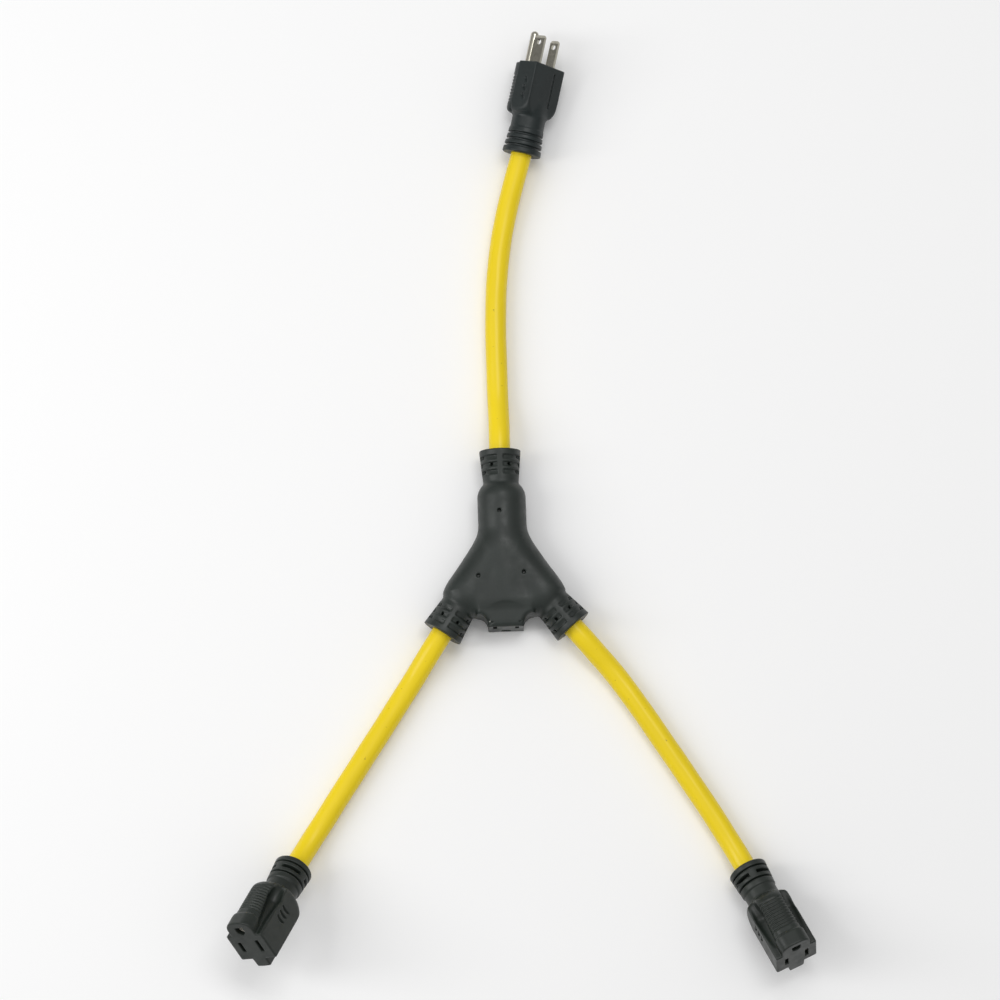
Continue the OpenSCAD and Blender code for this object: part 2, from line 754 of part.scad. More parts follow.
hub_overmould();
contact_carrier(OUTLET);  // hub_contact_carrier
blade_contact(OUTLET, -1);  // hub_line_contact
blade_contact(OUTLET, 1);  // hub_neutral_contact
ground_contact(OUTLET);  // hub_ground_contact
hub_line_bus();
hub_neutral_bus();
hub_ground_bus();
plug_overmould();
plug_bridge();
plug_blade(1, line_blade_w);  // plug_line_blade
plug_blade(-1, neutral_blade_w);  // plug_neutral_blade
plug_ground_pin();
connector_overmould(LEFT);  // left_overmould
contact_carrier(LEFT);  // left_contact_carrier
blade_contact(LEFT, -1);  // left_line_contact
blade_contact(LEFT, 1);  // left_neutral_contact
ground_contact(LEFT);  // left_ground_contact
connector_overmould(RIGHT);  // right_overmould
contact_carrier(RIGHT);  // right_contact_carrier
blade_contact(RIGHT, -1);  // right_line_contact
blade_contact(RIGHT, 1);  // right_neutral_contact
ground_contact(RIGHT);  // right_ground_contact
jacket(supply_path);  // supply_jacket
jacket(left_path);  // left_jacket
jacket(right_path);  // right_jacket
insulation("supply", LINE);  // supply_line_insulation
insulation("supply", NEUTRAL);  // supply_neutral_insulation
insulation("supply", GROUND);  // supply_ground_insulation
insulation("left", LINE);  // left_line_insulation
insulation("left", NEUTRAL);  // left_neutral_insulation
insulation("left", GROUND);  // left_ground_insulation
insulation("right", LINE);  // right_line_insulation
insulation("right", NEUTRAL);  // right_neutral_insulation
insulation("right", GROUND);  // right_ground_insulation
copper("supply", LINE);  // supply_line_copper
copper("supply", NEUTRAL);  // supply_neutral_copper
copper("supply", GROUND);  // supply_ground_copper
copper("left", LINE);  // left_line_copper
copper("left", NEUTRAL);  // left_neutral_copper
copper("left", GROUND);  // left_ground_copper
copper("right", LINE);  // right_line_copper
copper("right", NEUTRAL);  // right_neutral_copper
copper("right", GROUND);  // right_ground_copper
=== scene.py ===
import math

import bpy
import numpy as np
from mathutils import Matrix, Vector


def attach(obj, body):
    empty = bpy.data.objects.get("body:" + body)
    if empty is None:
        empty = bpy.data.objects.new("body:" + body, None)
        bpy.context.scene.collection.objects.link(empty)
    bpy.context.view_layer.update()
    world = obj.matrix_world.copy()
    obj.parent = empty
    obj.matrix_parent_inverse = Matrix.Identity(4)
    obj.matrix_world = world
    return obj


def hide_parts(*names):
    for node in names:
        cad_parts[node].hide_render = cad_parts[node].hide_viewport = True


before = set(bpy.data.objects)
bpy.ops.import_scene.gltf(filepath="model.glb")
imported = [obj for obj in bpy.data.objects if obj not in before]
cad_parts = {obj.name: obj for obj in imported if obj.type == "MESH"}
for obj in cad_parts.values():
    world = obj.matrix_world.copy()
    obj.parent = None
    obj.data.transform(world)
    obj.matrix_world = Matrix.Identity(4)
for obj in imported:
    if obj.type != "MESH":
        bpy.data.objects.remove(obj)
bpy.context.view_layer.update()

# Sizes are in millimetres up to the point where a mesh is made, which turns them into metres.
# The cords' routes, the floor, the lights and the camera are in metres from the start.
MM = 0.001
QUARTERS = (0, 90, 180, 270)

# ---- where each head lies: tail centre, heading, pitch, roll, length ----
# A head faces +z in its own frame, its blades are side by side along x, its ground side is +y,
# and its face is at z = 0. Heading is clockwise from +Y, and pitch is nose up.
PLUG_L = 54
CONNECTOR_L = 60
PLUG = ((19, 235.6, 11.9), 14.5, 8, 48, PLUG_L)
LEFT = ((-126.2, -182.6, 15.8), -151.5, 34, -135, CONNECTOR_L)
RIGHT = ((133, -191.8, 10.9), 154.5, 21, 175, CONNECTOR_L)

# ---- the cords' routes over the floor, in metres, from the hub outwards ----
HUB_AXIS_Z = 13.0
SUPPLY_ROUTE = [
    (0, 0.0565, 0.013), (0.0001, 0.0665, 0.0122), (0.0001, 0.0765, 0.0097),
    (0, 0.0865, 0.0072), (0, 0.097, 0.0063), (0, 0.111, 0.0062),
    (0.0001, 0.126, 0.0062), (0.0005, 0.14, 0.0062), (0.0014, 0.155, 0.0062),
    (0.003, 0.17, 0.0062), (0.0052, 0.184, 0.0062), (0.0074, 0.1945, 0.0066),
    (0.0099, 0.205, 0.0075), (0.0129, 0.2154, 0.0089), (0.016, 0.2255, 0.0104),
]
LEFT_ROUTE = [
    (-0.0372, -0.0495, 0.013), (-0.0428, -0.0578, 0.0122), (-0.0484, -0.0661, 0.0097),
    (-0.054, -0.0744, 0.0072), (-0.0607, -0.0843, 0.0063), (-0.0685, -0.0959, 0.0062),
    (-0.0775, -0.1092, 0.0062), (-0.0865, -0.1224, 0.0062), (-0.0955, -0.1356, 0.0062),
    (-0.1034, -0.1473, 0.0062), (-0.1092, -0.156, 0.0062), (-0.114, -0.1631, 0.0069),
    (-0.1183, -0.1698, 0.0087), (-0.1223, -0.1761, 0.0115),
]
RIGHT_ROUTE = [
    (0.0388, -0.0483, 0.013), (0.0454, -0.056, 0.0122), (0.052, -0.0637, 0.0097),
    (0.0585, -0.0713, 0.0072), (0.0652, -0.0802, 0.0063), (0.0726, -0.091, 0.0062),
    (0.0806, -0.1034, 0.0062), (0.0885, -0.116, 0.0062), (0.0964, -0.1286, 0.0062),
    (0.1042, -0.1412, 0.0062), (0.1118, -0.1536, 0.0062), (0.1182, -0.1644, 0.0062),
    (0.1236, -0.174, 0.0065), (0.1285, -0.183, 0.008),
]


# ---- points and directions ----
def head_matrix(head):
    tail, heading, pitch, roll, length = head
    return (
        Matrix.Translation(Vector(tail))
        @ Matrix.Rotation(math.radians(-heading), 4, "Z")
        @ Matrix.Rotation(math.radians(pitch - 90), 4, "X")
        @ Matrix.Rotation(math.radians(roll), 4, "Z")
        @ Matrix.Translation(Vector((0, 0, length)))
    )


def on_head(head, point):
    return head_matrix(head) @ Vector(point)


# ---- materials ----
def ramp_stops(ramp, stops):
    """Give a colour ramp these (place, colour) stops."""
    points = ramp.color_ramp.elements
    while len(points) < len(stops):
        points.new(0.5)
    for point, (place, colour) in zip(points, stops):
        point.position = place
        point.color = (*colour, 1)


def shade(colour, factor):
    return tuple(min(1.0, c * factor) for c in colour)


def surface_material(
    name,
    colour,
    spread,
    mottle,
    roughness,
    grain,
    bump,
    bump_mm,
    metallic=0.0,
    scratch=None,
    scuffs=None,
    uv=False,
    sockets=None,
):
    """A moulded, drawn or rolled surface: mottled colour, uneven gloss and a fine grain.
    mottle and grain are in millimetres, and scratch stretches both along the axis where it is
    smallest."""
    made = bpy.data.materials.new(name)
    made.use_nodes = True
    tree = made.node_tree
    nodes, link = tree.nodes, tree.links.new
    shader = nodes["Principled BSDF"]
    shader.inputs["Metallic"].default_value = metallic
    for socket, value in (sockets or {}).items():
        shader.inputs[socket].default_value = value
    place = nodes.new("ShaderNodeTexCoord").outputs["UV" if uv else "Object"]

    def noise(size, detail, stretched=None):
        texture = nodes.new("ShaderNodeTexNoise")
        texture.inputs["Scale"].default_value = 1000.0 / size
        texture.inputs["Detail"].default_value = detail
        source = place
        if stretched is not None:
            mapping = nodes.new("ShaderNodeMapping")
            mapping.inputs["Scale"].default_value = stretched
            link(place, mapping.inputs["Vector"])
            source = mapping.outputs["Vector"]
        link(source, texture.inputs["Vector"])
        return texture.outputs["Fac"]

    tint = nodes.new("ShaderNodeValToRGB")
    ramp_stops(
        tint,
        [(0.3, shade(colour, 1 - spread)), (0.5, colour), (0.72, shade(colour, 1 + spread))],
    )
    link(noise(mottle, 4.0, scratch), tint.inputs["Fac"])
    coat = tint.outputs["Color"]
    if scuffs:
        size, scuff_colour, low, high = scuffs
        mask = nodes.new("ShaderNodeMapRange")
        mask.inputs["From Min"].default_value = low
        mask.inputs["From Max"].default_value = high
        mask.inputs["To Max"].default_value = 0.8
        link(noise(size, 3.0), mask.inputs["Value"])
        blend = nodes.new("ShaderNodeMix")
        blend.data_type = "RGBA"
        blend.inputs["B"].default_value = (*scuff_colour, 1)
        link(mask.outputs["Result"], blend.inputs["Factor"])
        link(coat, blend.inputs["A"])
        coat = blend.outputs["Result"]
    link(coat, shader.inputs["Base Color"])

    gloss = nodes.new("ShaderNodeMapRange")
    gloss.inputs["From Min"].default_value = 0.3
    gloss.inputs["From Max"].default_value = 0.7
    gloss.inputs["To Min"].default_value = roughness[0]
    gloss.inputs["To Max"].default_value = roughness[1]
    link(noise(mottle * 0.4, 5.0, scratch), gloss.inputs["Value"])
    link(gloss.outputs["Result"], shader.inputs["Roughness"])

    relief = nodes.new("ShaderNodeBump")
    relief.inputs["Strength"].default_value = bump
    relief.inputs["Distance"].default_value = bump_mm * MM
    link(noise(grain, 3.0, scratch), relief.inputs["Height"])
    link(relief.outputs["Normal"], shader.inputs["Normal"])
    return made


def vinyl(name, colour, mottle):
    return surface_material(name, colour, 0.2, mottle, (0.36, 0.52), 0.45, 0.35, 0.04,
                            sockets={"Specular IOR Level": 0.42})


def insulation(name, colour, spread):
    return surface_material(name, colour, spread, 4.0, (0.3, 0.45), 0.4, 0.2, 0.03)


HUB_VINYL = vinyl("charcoal_vinyl", (0.0142, 0.0192, 0.0164), 14.0)
# The connectors are the same charcoal vinyl as the hub; this darker copy paints shade onto them.
SHADED_CONNECTOR_VINYL = vinyl("connector_vinyl_painted_shade", (0.0122, 0.0168, 0.0134), 14.0)
PLUG_VINYL = vinyl("plug_vinyl", (0.0068, 0.0122, 0.0122), 11.0)
JACKET = surface_material(
    "yellow_jacket", (0.83, 0.62, 0.008), 0.06, 16.0, (0.30, 0.42), 0.7, 0.2, 0.05,
    scratch=(1.0, 0.12, 1.0), scuffs=(5.0, (0.25, 0.17, 0.02), 0.69, 0.75), uv=True,
    sockets={"Specular IOR Level": 0.28, "Coat Weight": 0.08, "Coat Roughness": 0.22},
)
NICKEL = surface_material(
    "nickel", (0.47, 0.45, 0.385), 0.06, 5.0, (0.09, 0.2), 0.3, 0.15, 0.01, 1.0,
)
BRASS = surface_material(
    "contact_brass", (0.72, 0.50, 0.20), 0.1, 3.0, (0.25, 0.4), 0.2, 0.3, 0.02, 1.0,
)
COPPER = surface_material(
    "strand_copper", (0.72, 0.33, 0.17), 0.12, 1.2, (0.3, 0.45), 0.3, 0.6, 0.1, 1.0,
)
INNER = surface_material(
    "inner_plastic", (0.62, 0.61, 0.56), 0.05, 6.0, (0.35, 0.5), 0.4, 0.2, 0.03,
)
WIRES = {
    "line": insulation("line_insulation", (0.02, 0.02, 0.021), 0.2),
    "neutral": insulation("neutral_insulation", (0.76, 0.76, 0.73), 0.05),
    "ground": insulation("ground_insulation", (0.02, 0.22, 0.06), 0.15),
}


def node_material(name):
    if name.endswith("_copper"):
        return COPPER
    if name.endswith("_insulation"):
        return WIRES[name.split("_")[1]]
    if name.startswith("plug_") and name.endswith(("_blade", "_pin")):
        return NICKEL
    if name.endswith(("_carrier", "_bridge")):
        return INNER
    return BRASS


for node_name, node_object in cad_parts.items():
    node_object.data.materials.clear()
    node_object.data.materials.append(node_material(node_name))


# ---- signed distances, for the soft mouldings ----
# Distances are arrays in millimetres, negative inside. Where k is given, two of them blend
# over about k.
def soft_min(a, b, k):
    h = np.clip(0.5 + 0.5 * (b - a) / k, 0, 1)
    return b + (a - b) * h - k * h * (1 - h)


def soft_max(a, b, k):
    return -soft_min(-a, -b, k)


def carve(body, hole, k):
    return soft_max(body, -hole, k)


def rounded(a, b, r):
    """Where the distances a and b both hold, with the edge between them rounded to r."""
    over_a, over_b = np.maximum(a + r, 0), np.maximum(b + r, 0)
    return np.hypot(over_a, over_b) + np.minimum(np.maximum(a + r, b + r), 0) - r


def rect(x, y, half_x, half_y, r=0.0):
    return rounded(np.abs(x) - half_x, np.abs(y) - half_y, r)


def between(z, low, high):
    return np.abs(z - (low + high) / 2) - (high - low) / 2


def block(x, y, z, low, high):
    """A box from corner low to corner high."""
    d = rounded(between(x, low[0], high[0]), between(y, low[1], high[1]), 0.0)
    return rounded(d, between(z, low[2], high[2]), 0.0)


def turned(x, y, angle):
    """How far (x, y) is along a direction at this angle in degrees, and how far across it."""
    a = math.radians(angle)
    return x * math.cos(a) + y * math.sin(a), -x * math.sin(a) + y * math.cos(a)


def convex(x, y, corners):
    """A convex polygon, its corners anticlockwise."""
    d = np.full(x.shape, -1e9)
    for (ax, ay), (bx, by) in zip(corners, corners[1:] + corners[:1]):
        ex, ey = bx - ax, by - ay
        length = math.hypot(ex, ey)
        d = np.maximum(d, ((x - ax) * ey - (y - ay) * ex) / length)
    return d


def round_cone(x, y, z, a, b, ra, rb):
    """A bar from a to b whose radius runs from ra to rb, with round ends."""
    p = np.stack((x - a[0], y - a[1], z - a[2]), -1)
    axis = np.array(b, float) - np.array(a, float)
    t = np.clip(p @ axis / (axis @ axis), 0, 1)
    return np.linalg.norm(p - t[:, None] * axis, axis=1) - (ra + (rb - ra) * t)


# ---- a mesh from a signed distance ----
BLOCK = 6
CHUNK = 400_000
SLOPE_REACH = 0.03
CORNERS = [(i, j, k) for i in (0, 1) for j in (0, 1) for k in (0, 1)]
EDGES = [(a, b) for a in range(8) for b in range(a + 1, 8)
         if sum(abs(p - q) for p, q in zip(CORNERS[a], CORNERS[b])) == 1]


def in_chunks(field, points):
    return np.concatenate([
        field(*points[i:i + CHUNK].T) for i in range(0, len(points), CHUNK)
    ])


def sampled(field, low, step, count):
    """The field on a grid. Far from the surface a whole block takes its middle's value."""
    blocks = count // BLOCK
    first = np.indices(blocks).reshape(3, -1).T * BLOCK
    middle = in_chunks(field, low + (first + (BLOCK - 1) / 2) * step)
    reach = BLOCK * step * 1.2 + 0.8
    values = middle.reshape(blocks)
    for axis in range(3):
        values = values.repeat(BLOCK, axis)
    near = first[np.abs(middle) < reach]
    inner = np.indices((BLOCK,) * 3).reshape(3, -1).T
    index = (near[:, None, :] + inner[None]).reshape(-1, 3)
    values[tuple(index.T)] = in_chunks(field, low + index * step)
    return values


def gradient(field, points):
    parts = []
    for axis in range(3):
        off = np.zeros(3)
        off[axis] = SLOPE_REACH
        rise = in_chunks(field, points + off) - in_chunks(field, points - off)
        parts.append(rise / (2 * SLOPE_REACH))
    return np.stack(parts, 1)


def surface_net(field, low, high, step):
    """Points and quads of the field's zero surface, a point in each grid cell it crosses."""
    low = np.array(low, float)
    count = np.ceil((np.array(high, float) - low) / step).astype(int) + 1
    count = (count + BLOCK - 1) // BLOCK * BLOCK
    values = sampled(field, low, step, count)
    inside = values < 0
    size = count - 1
    shifted = [
        values[i:i + size[0], j:j + size[1], k:k + size[2]] for i, j, k in CORNERS
    ]
    total = sum((s < 0).astype(np.int8) for s in shifted)
    active = (total > 0) & (total < 8)
    cells = np.argwhere(active)
    number = np.full(active.shape, -1)
    number[active] = np.arange(len(cells))
    at = [s[active] for s in shifted]
    place, hits = np.zeros((len(cells), 3)), np.zeros(len(cells))
    for a, b in EDGES:
        crossed = (at[a] < 0) != (at[b] < 0)
        t = np.where(crossed, at[a] / np.where(crossed, at[a] - at[b], 1), 0)
        ca, cb = np.array(CORNERS[a]), np.array(CORNERS[b])
        place += np.where(crossed[:, None], ca + t[:, None] * (cb - ca), 0)
        hits += crossed
    points = low + (cells + place / hits[:, None]) * step
    for _ in range(3):
        slope = gradient(field, points)
        steep = np.maximum((slope**2).sum(1), 0.05)
        move = slope * (in_chunks(field, points) / steep)[:, None]
        far = np.linalg.norm(move, axis=1)
        points -= move * np.minimum(1, 0.4 * step / np.maximum(far, 1e-9))[:, None]
    quads = []
    for d in range(3):
        u, v = (d + 1) % 3, (d + 2) % 3
        near = [slice(None)] * 3
        away = [slice(None)] * 3
        near[d], away[d] = slice(None, -1), slice(1, None)
        here, there = inside[tuple(near)], inside[tuple(away)]
        p = np.argwhere(here != there)
        p = p[(p[:, u] > 0) & (p[:, v] > 0) & (p[:, u] < size[u]) & (p[:, v] < size[v])]
        eu, ev = np.eye(3, dtype=int)[u], np.eye(3, dtype=int)[v]
        quad = np.stack([number[tuple(q.T)] for q in (p - eu - ev, p - ev, p, p - eu)], 1)
        back = ~here[tuple(p.T)]
        quad[back] = quad[back][:, ::-1]
        quads.append(quad)
    return points, np.concatenate(quads)


def add_object(name, data):
    made = bpy.data.objects.new(name, data)
    bpy.context.scene.collection.objects.link(made)
    return made


def mesh_object(name, points, faces, material, matrix=None):
    """A smooth-shaded object from points in millimetres and faces. matrix places them."""
    if matrix is not None:
        turn = np.array(matrix.to_3x3())
        points = points @ turn.T + np.array(matrix.translation)
    mesh = bpy.data.meshes.new(name)
    mesh.from_pydata((points * MM).tolist(), [], faces.tolist())
    mesh.polygons.foreach_set("use_smooth", [True] * len(mesh.polygons))
    mesh.materials.append(material)
    mesh.update()
    return add_object(name, mesh)


# ---- the strain reliefs ----
def ridged_relief(r, z, end, end_r, base_r, grooves):
    """A relief of revolution, its cord end at z = end. A groove is (middle, width, floor radius),
    its middle measured from that end."""
    taper = r - (end_r + (base_r - end_r) * np.clip((z - end) / RELIEF_L, 0, 1))
    d = rounded(taper, end - z, 0.9)
    for middle, width, floor in grooves:
        d = carve(d, rect(r - floor - 10, z - end - middle, 10, width / 2, 0.35), 0.3)
    return d


def window_cut(d, x, y, z, end, middle, width, floor, rib_half):
    """Cut a ring of slots, leaving a rib at each quarter."""
    r = np.hypot(x, y)
    slot = rect(r - floor - 10, z - end - middle, 10, width / 2, 0.35)
    for angle in QUARTERS:
        along, across = turned(x, y, angle)
        rib = np.where(along > 0, np.abs(across) - rib_half, 1e3)
        slot = soft_max(slot, -rib, 0.3)
    return carve(d, slot, 0.3)


# ---- the heads ----
CORD_HOLE_R = 6.3
NECK_R = 9.65
RING_R = 11.4
RELIEF_L = 15
BLADE_X = 6.35
BLADE_Y = -1.5
GROUND_Y = 10.4
FACE_SKIN = 3.0
CARRIER_BACK = 19.0
BRIDGE_BACK = 15.0
CONNECTOR_FAN = 38
PLUG_FAN = 32
MOUTH_DEPTH = 4.0
SLOT_HALF = 1.1
GROUND_MOUTH_R = 2.7
RIB_PITCH = 1.95


def shoulder(r, z, back, wide, run):
    """The rounded shoulder that runs from the neck at z = back out to radius wide."""
    over = np.maximum(r - NECK_R, 1e-4) / (wide - NECK_R)
    behind = np.minimum(z - back - run, 0) / run
    k0 = np.hypot(over, behind)
    return k0 * (k0 - 1) / np.hypot(over / (wide - NECK_R), behind / run)


def fan_space(x, y, z, start, stop):
    """Room for the conductors to spread, from the cord's hole at start to the inner block."""
    flare = np.hypot(x, y) - CORD_HOLE_R - np.maximum(z + start, 0) * 0.86
    room = np.maximum(between(z, -start, -stop), flare)
    wide = np.maximum(np.abs(x) - 9.2, between(y, -6.8, 4.2))
    tall = np.maximum(np.abs(x) - 3.9, between(y, -6.8, 13.2))
    return np.maximum(room, np.minimum(wide, tall))


def cord_hole(x, y, z, length, stop):
    return np.maximum(np.hypot(x, y) - CORD_HOLE_R, between(z, -length - 2, -stop))


def inner_room(x, y, z, back, riser_top):
    """Room for the hard block behind a face, with its riser on the ground side."""
    wide = block(x, y, z, (-9.4, -7.2, -back), (9.4, 4.4, -FACE_SKIN))
    tall = block(x, y, z, (-5, 0, -back), (5, riser_top, -FACE_SKIN))
    return np.minimum(wide, tall)


def carrier_room(x, y, z):
    return inner_room(x, y, z, CARRIER_BACK, 14.1)


def mouths(x, y, z):
    """The openings in an outlet's face."""
    line = rect(x + BLADE_X, y - BLADE_Y, SLOT_HALF, 3.6, 0.25)
    neutral = rect(x - BLADE_X, y - BLADE_Y, SLOT_HALF, 4.3, 0.25)
    ground = np.hypot(x, y - GROUND_Y) - GROUND_MOUTH_R
    flat = rect(x, y - GROUND_Y - 1.35, GROUND_MOUTH_R, 1.35, 0.3)
    opening = np.minimum(np.minimum(line, neutral), np.minimum(ground, flat))
    return np.maximum(opening, between(z, -MOUTH_DEPTH, 2.0))


def hump_ribs(y, z, depth, phase, start, stop, foot):
    """How far the ribs cut into a hump between z = -stop and z = -start, above y = foot."""
    ribs = 0.5 + 0.5 * np.cos(2 * math.pi * (z + phase) / RIB_PITCH)
    ribbed = np.clip((-z - start) / 0.8, 0, 1) * np.clip((z + stop) / 0.8, 0, 1)
    return depth * ribs * ribbed * np.clip((y - foot) / 2.0, 0, 1)


def finger_grooves(x, y, z, middle, spacing, reach, depth, wall):
    """Three crescents in each flat side, bulging towards the face."""
    d = np.full(x.shape, 1e3)
    bend = 7.0
    for i in (-1, 0, 1):
        dz = z - (middle + i * spacing) + bend
        arc = np.abs(np.hypot(y, dz) - bend)
        width = 0.85 * np.clip(1 - (y / (reach + 0.8)) ** 2, 0, 1)
        d = np.minimum(d, np.maximum(np.maximum(arc - width, np.abs(y) - reach), -dz))
    return np.maximum(d, wall - depth - np.abs(x))


def connector_field(x, y, z):
    r = np.hypot(x, y)
    wings = rect(x, y + 1.85, 12.7, 9.3, 1.0)
    hump = rect(x, y - 8.2, 8.2, 8.2, 6.4) + hump_ribs(y, z, 0.55, 13.2, 12.4, 32.0, 8.5)
    collar = rounded(rect(x, y - 8.4, 8.9, 8.7, 6.2), -(z + 9.4), 1.5)
    hump = soft_min(hump, collar, 0.5)
    keel = convex(x, y, [(-5.2, -9), (-4.5, -17.2), (4.5, -17.2), (5.2, -9),
                         (5.2, 0), (-5.2, 0)])
    body = soft_min(soft_min(wings, hump, 0.7), keel, 0.5)
    body = soft_max(body, shoulder(r, z, -38.0, 18.2, 14.0), 1.6)
    body = soft_max(body, z, 0.9)
    for side in (-1, 1):
        scoop = soft_min(
            round_cone(x, y, z, (side * 9.2, 8.6, -8.5), (side * 9.3, 9.0, -26.5), 1.2, 3.9),
            round_cone(x, y, z, (side * 9.3, 9.0, -26.5), (side * 10.4, 11.0, -37.0), 3.9, 2.4),
            0.5)
        body = carve(body, scoop, 1.3)
    body = carve(body, finger_grooves(x, y - 0.4, z, -21.5, 3.6, 3.5, 0.95, 12.7), 0.3)
    neck = np.maximum(np.maximum(r - NECK_R + np.maximum(z + 37, 0) * 0.3, -(z + 46)), z + 26)
    body = soft_min(body, neck, 2.0)
    relief = ridged_relief(r, z, -CONNECTOR_L, RING_R, 10.35,
                           [(3.8, 1.1, 9.2), (11.2, 1.1, 8.6)])
    relief = window_cut(relief, x, y, z, -CONNECTOR_L, 7.5, 2.1, 7.1, 2.3)
    relief = rounded(relief, z + 44.6, 0.8)
    d = soft_min(body, relief, 0.4)
    d = carve(d, cord_hole(x, y, z, CONNECTOR_L, CONNECTOR_FAN), 0.3)
    d = carve(d, fan_space(x, y, z, CONNECTOR_FAN, 18.5), 0.1)
    d = carve(d, carrier_room(x, y, z), 0.05)
    return carve(d, mouths(x, y, z), 0.15)


def plug_field(x, y, z):
    r = np.hypot(x, y)
    wings = rect(x, y + 1.5, 12.7, 7.2, 0.8)
    wings = soft_max(wings, shoulder(r, z, -31.0, 15.6, 12.0), 1.2)
    hump = np.hypot(x, np.maximum(y - 8.2, 0)) - 8.7
    hump = np.maximum(hump, -y) + hump_ribs(y, z, 0.5, 8.0, 6.5, 24.0, 7.0)
    body = soft_min(wings, hump, 0.8)
    body = soft_max(body, shoulder(r, z, -31.0, 18.2, 10.0), 1.2)
    body = soft_max(body, z, 0.7)
    for side in (-1, 1):
        scoop = round_cone(x, y, z, (side * 10.2, 6.8, -8.0), (side * 10.5, 7.0, -28.0), 1.2, 2.4)
        body = carve(body, scoop, 1.0)
    channel = rounded(rect(x - 4.6, y + 9.2, 0.75, 1.6, 0.5), between(z, -24.5, -3.7), 0.5)
    body = carve(body, channel, 0.4)
    for dent in (-11.5, -16.4, -21.3):
        mark = round_cone(
            np.abs(x), y, z, (12.9, -2.6, dent + 1.1), (12.9, -4.2, dent - 1.1), 1.1, 0.6)
        body = carve(body, mark, 0.3)
    neck = np.maximum(np.maximum(r - 10.0 + np.maximum(z + 31, 0) * 0.3, -(z + 39)), z + 20)
    body = soft_min(body, neck, 2.0)
    relief = ridged_relief(r, z, -PLUG_L, RING_R + 0.2, 10.3,
                           [(4.1, 1.5, 9.6), (7.8, 1.4, 9.45), (11.5, 1.3, 9.4)])
    relief = rounded(relief, z + 38.6, 0.8)
    d = soft_min(body, relief, 0.5)
    d = carve(d, cord_hole(x, y, z, PLUG_L, PLUG_FAN), 0.3)
    d = carve(d, fan_space(x, y, z, PLUG_FAN, 14.5), 0.1)
    d = carve(d, inner_room(x, y, z, BRIDGE_BACK, 13.9), 0.05)
    line = rect(x - BLADE_X, y - BLADE_Y, 0.75, 3.175)
    neutral = rect(x + BLADE_X, y - BLADE_Y, 0.75, 3.95)
    pin = np.hypot(x, y - GROUND_Y) - 2.68
    holes = np.maximum(np.minimum(np.minimum(line, neutral), pin), between(z, -4, 2))
    return carve(d, holes, 0.05)


# ---- the hub ----
ARM_X, ARM_Y = 27.0, -34.2
LEFT_ARM, RIGHT_ARM = -33.5, 40.0
HUB_RELIEF_L = 18.4
SUPPLY_END_Y = 56.5
STUB_FACE_Y = -48.2
OUTLET_Z = 15.6
HUB_DIMPLES = ((-1.5, 19.5), (-14.9, -18.2), (11.4, -16.9))


def arm_point(side, angle, out):
    """The point on a leg's axis this far out from its relief's root."""
    a = math.radians(angle)
    return (side * ARM_X + out * math.sin(a), ARM_Y - out * math.cos(a), HUB_AXIS_Z)


def arm_frame(x, y, z, angle):
    """Coordinates round a leg's relief: across, up, and out along it from its root."""
    side = 1 if angle > 0 else -1
    a = math.radians(angle)
    dx, dy = math.sin(a), -math.cos(a)
    px, py = x - side * ARM_X, y - ARM_Y
    return px * dy - py * dx, z - HUB_AXIS_Z, px * dx + py * dy


def hub_relief(u, v, out):
    """A leg's or the supply's relief, with its root at out = 0."""
    r = np.hypot(u, v)
    outside = r - (10.4 + 1.75 * np.clip(out / HUB_RELIEF_L, 0, 1))
    d = rounded(outside, out - HUB_RELIEF_L, 0.4)
    for row, from_end in enumerate((5.0, 9.3, 13.6)):
        middle = out - HUB_RELIEF_L + from_end
        # Each recess is deepest along its edge towards the cord.
        floor = -outside - 0.8 - 0.3 * np.clip(middle, -1.3, 1.3)
        slot = rounded(floor, np.abs(middle) - 1.3, 0.3)
        for angle in QUARTERS:
            along, across = turned(u, v, angle)
            slot = soft_max(slot, -np.where(along > 0, np.abs(across) - 1.7, 1e3), 0.4)
        d = carve(d, slot, 0.3)
        for angle in (60, 120, 240, 300) if row == 1 else (24, 156, 204, 336):
            along, across = turned(u, v, angle)
            hole = np.maximum(np.hypot(across, middle - 0.2) - 0.95, 7.4 - along)
            d = carve(d, hole, 0.25)
    return np.maximum(d, -out - 3)


def lip_plan(x, y):
    """The outlet's lip with a round scallop on each side, from above."""
    ax = np.abs(x)
    fill = np.maximum(ax - 16.6, between(y, -46.6, -20))
    fill = np.maximum(fill, 6.2 - np.hypot(ax - 16.6, y + 46.6))
    return np.minimum(fill, np.maximum(ax - 10.4, between(y, STUB_FACE_Y, -20)))


